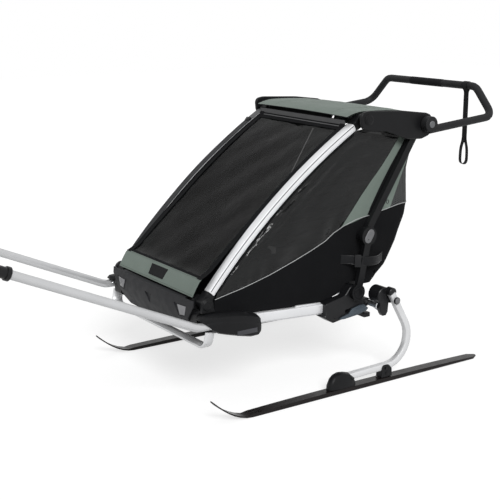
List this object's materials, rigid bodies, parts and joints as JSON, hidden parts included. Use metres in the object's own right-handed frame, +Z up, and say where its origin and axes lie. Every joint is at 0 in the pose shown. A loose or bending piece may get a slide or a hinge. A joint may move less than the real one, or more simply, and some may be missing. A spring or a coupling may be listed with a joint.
{
  "type": "child bike trailer",
  "caption": "Folding two-seat child trailer cabin on skis, with curved ski legs, a slotted front frame, a tilting handlebar and tow bars that reach forward.",
  "frame": {"origin": "on the ground under the ski soles, below the middle of the overall length and width", "axes": "+X is the trailer's left side, -Y is the direction of travel with the tow bars in front, +Z is up"},
  "size_m": [0.9442, 2.7356, 1.1256],
  "materials": {
    "aluminium": "light satin anodised",
    "tow_aluminium": "satin anodised",
    "black_plastic": "fine grained moulding",
    "grey_plastic": "smooth satin",
    "reflector": "clear prismatic lens",
    "dark_steel": "black coated",
    "foam_grip": "soft matt grip",
    "green_cloth": "sage green woven cloth",
    "black_cloth": "black woven cloth",
    "ski_base": "near black satin laminate",
    "seat_cloth": "dark grey padded cloth"
  },
  "bodies": {
    "chassis": {"side_rail_left": "aluminium", "side_rail_right": "aluminium", "front_knuckle_left": "black_plastic", "front_knuckle_right": "black_plastic", "rear_bracket_left": "black_plastic", "rear_bracket_right": "black_plastic", "axle_tube": "dark_steel", "front_crossbar": "aluminium", "wing_pod_left": "black_plastic", "wing_pod_right": "black_plastic", "pod_reflector_left": "reflector", "pod_reflector_right": "reflector", "tow_bar_left": "tow_aluminium", "tow_bar_right": "tow_aluminium", "tow_sleeve_left": "black_plastic", "tow_sleeve_right": "black_plastic", "front_bumper": "black_plastic", "floor_tub": "black_plastic", "seat_cushion": "seat_cloth", "backrest": "seat_cloth", "axle_hub_left": "black_plastic", "axle_hub_right": "black_plastic", "ski_leg_left": "aluminium", "ski_leg_right": "aluminium", "ski_left": "ski_base", "ski_right": "ski_base", "ski_toe_boot_left": "black_plastic", "ski_toe_boot_right": "black_plastic", "ski_heel_clamp_left": "black_plastic", "ski_heel_clamp_right": "black_plastic", "side_panel_left": "black_cloth", "side_panel_right": "black_cloth", "back_panel": "black_cloth"},
    "front_frame": {"front_upright_left": "aluminium", "front_upright_right": "aluminium", "upright_foot_left": "black_plastic", "upright_foot_right": "black_plastic", "upright_head_left": "black_plastic", "upright_head_right": "black_plastic", "top_cross_tube": "aluminium", "front_cover": "black_cloth"},
    "top_frame": {"top_bracket_left": "black_plastic", "top_bracket_right": "black_plastic", "rear_cross_tube": "dark_steel", "canopy_roof": "green_cloth"},
    "rear_posts": {"rear_post_left": "black_plastic", "rear_post_right": "black_plastic"},
    "lower_struts": {"lower_strut_left": "black_plastic", "lower_strut_right": "black_plastic"},
    "handlebar": {"handlebar": "foam_grip"},
    "strap": {"wrist_strap": "black_cloth"},
    "brake_pedal": {"brake_pedal": "black_plastic"},
    "pod_button_left": {"pod_button_left": "grey_plastic"},
    "pod_button_right": {"pod_button_right": "grey_plastic"},
    "axle_button_left": {"axle_button_left": "grey_plastic"},
    "axle_button_right": {"axle_button_right": "grey_plastic"},
    "knuckle_button_left": {"knuckle_button_left": "grey_plastic"},
    "knuckle_button_right": {"knuckle_button_right": "grey_plastic"},
    "handlebar_button_left": {"handlebar_button_left": "grey_plastic"},
    "handlebar_button_right": {"handlebar_button_right": "grey_plastic"}
  },
  "joints": [
    {"name": "frame_fold", "type": "hinge", "parent": "chassis", "child": "front_frame", "pos_m": [0, -0.01285, 0.404], "axis": [-1, 0, 0], "range_deg": [0, 36], "deforming": ["side_panel_left", "side_panel_right", "back_panel", "backrest"]},
    {"name": "top_turn", "type": "hinge", "parent": "front_frame", "child": "top_frame", "pos_m": [0, 0.70315, 1.019], "axis": [-1, 0, 0], "range_deg": [-43, 0], "deforming": ["canopy_roof"]},
    {"name": "post_turn", "type": "hinge", "parent": "top_frame", "child": "rear_posts", "pos_m": [0, 0.96515, 0.955], "axis": [-1, 0, 0], "range_deg": [0, 78.1]},
    {"name": "strut_turn", "type": "hinge", "parent": "chassis", "child": "lower_struts", "pos_m": [0, 0.66915, 0.347], "axis": [-1, 0, 0], "range_deg": [0, 8.3]},
    {"name": "handlebar_tilt", "type": "hinge", "parent": "top_frame", "child": "handlebar", "pos_m": [0, 0.99715, 0.985], "axis": [1, 0, 0], "range_deg": [-45, 60]},
    {"name": "strap_swing", "type": "hinge", "parent": "handlebar", "child": "strap", "pos_m": [0, 1.34915, 1.107], "axis": [1, 0, 0], "range_deg": [-60, 45]},
    {"name": "brake_pedal_turn", "type": "hinge", "parent": "chassis", "child": "brake_pedal", "pos_m": [0, 0.66915, 0.283], "axis": [-1, 0, 0], "range_deg": [0, 20]},
    {"name": "pod_button_left_press", "type": "slide", "parent": "chassis", "child": "pod_button_left", "axis": [0, 0, -1], "range_m": [0, 0.004], "stiffness_N_per_m": 400},
    {"name": "pod_button_right_press", "type": "slide", "parent": "chassis", "child": "pod_button_right", "axis": [0, 0, -1], "range_m": [0, 0.004], "stiffness_N_per_m": 400},
    {"name": "axle_button_left_press", "type": "slide", "parent": "chassis", "child": "axle_button_left", "axis": [-1, 0, 0], "range_m": [0, 0.003], "stiffness_N_per_m": 400},
    {"name": "axle_button_right_press", "type": "slide", "parent": "chassis", "child": "axle_button_right", "axis": [1, 0, 0], "range_m": [0, 0.003], "stiffness_N_per_m": 400},
    {"name": "knuckle_button_left_press", "type": "slide", "parent": "lower_struts", "child": "knuckle_button_left", "axis": [-1, 0, 0], "range_m": [0, 0.004], "stiffness_N_per_m": 400},
    {"name": "knuckle_button_right_press", "type": "slide", "parent": "lower_struts", "child": "knuckle_button_right", "axis": [1, 0, 0], "range_m": [0, 0.004], "stiffness_N_per_m": 400},
    {"name": "handlebar_button_left_press", "type": "slide", "parent": "handlebar", "child": "handlebar_button_left", "axis": [-1, 0, 0], "range_m": [0, 0.003], "stiffness_N_per_m": 400},
    {"name": "handlebar_button_right_press", "type": "slide", "parent": "handlebar", "child": "handlebar_button_right", "axis": [1, 0, 0], "range_m": [0, 0.003], "stiffness_N_per_m": 400}
  ],
  "couplings": [
    {"joint": "top_turn", "follows": "frame_fold", "ratio": -1.1944},
    {"joint": "post_turn", "follows": "frame_fold", "ratio": 2.1686},
    {"joint": "strut_turn", "follows": "frame_fold", "ratio": 0.2295},
    {"joint": "strap_swing", "follows": "handlebar_tilt", "ratio": -1}
  ]
}
